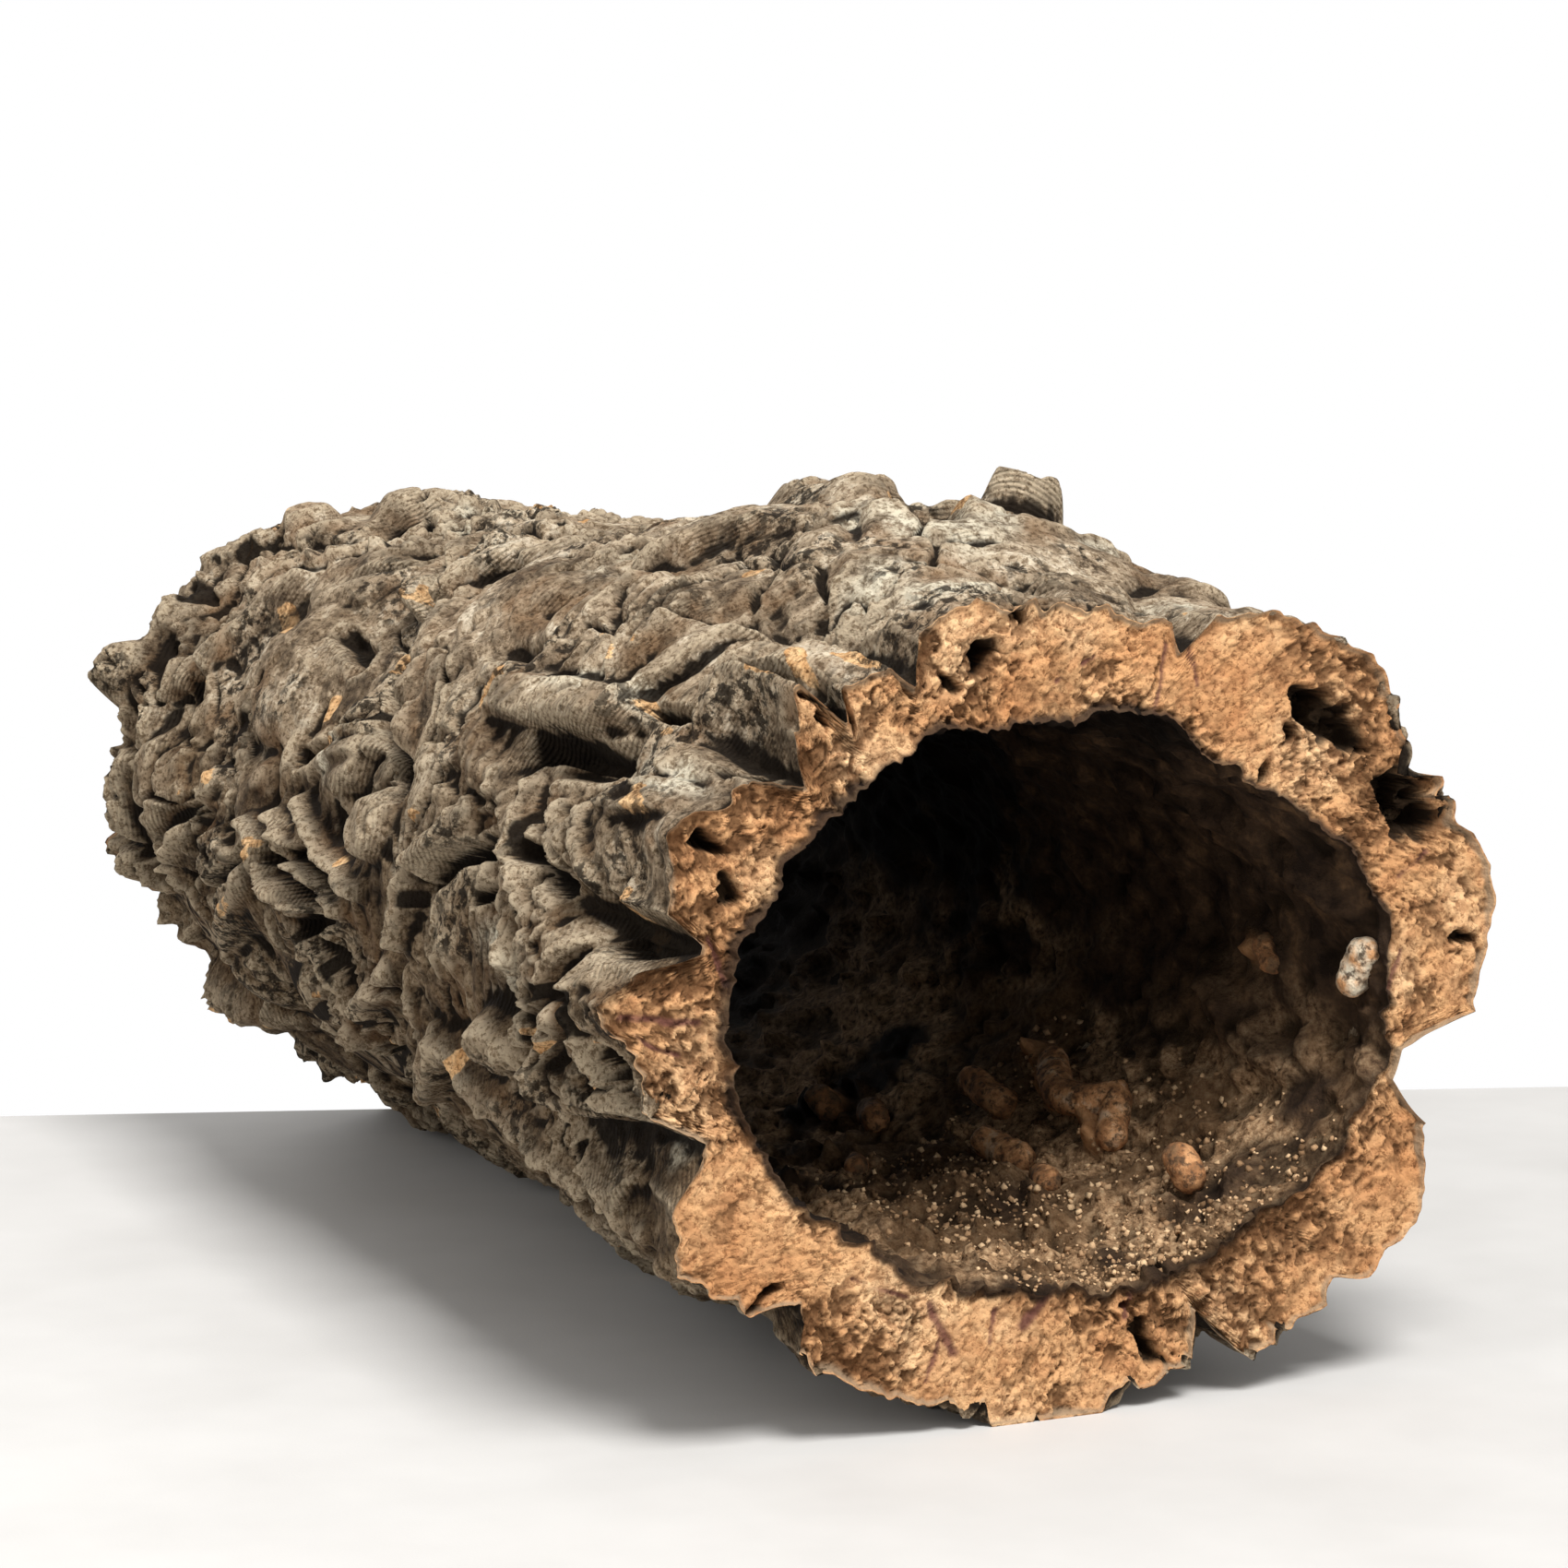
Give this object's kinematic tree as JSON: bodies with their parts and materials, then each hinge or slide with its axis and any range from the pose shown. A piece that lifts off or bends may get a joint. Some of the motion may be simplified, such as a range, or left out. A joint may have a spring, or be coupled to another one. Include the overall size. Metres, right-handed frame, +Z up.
{
  "type": "cork bark tube",
  "caption": "Hollow tube of rough virgin cork bark, open at both sawn ends, that lies on its side as a hide, planter or display branch.",
  "frame": {"origin": "on the resting surface, under the middle of the tube's box", "axes": "+Y along the tube from its sawn mouth to its far end, +X to the right seen from the mouth, +Z up"},
  "size_m": [0.2505, 0.4302, 0.2304],
  "materials": {
    "cork_bark": "dry weathered bark, grey-brown, matt",
    "cut_cork": "freshly sawn granular cork, warm tan, matt",
    "hollow_lining": "dark crumbly inner bark, matt"
  },
  "bodies": {
    "root": {"cork_bark_tube": "cork_bark"}
  },
  "joints": []
}
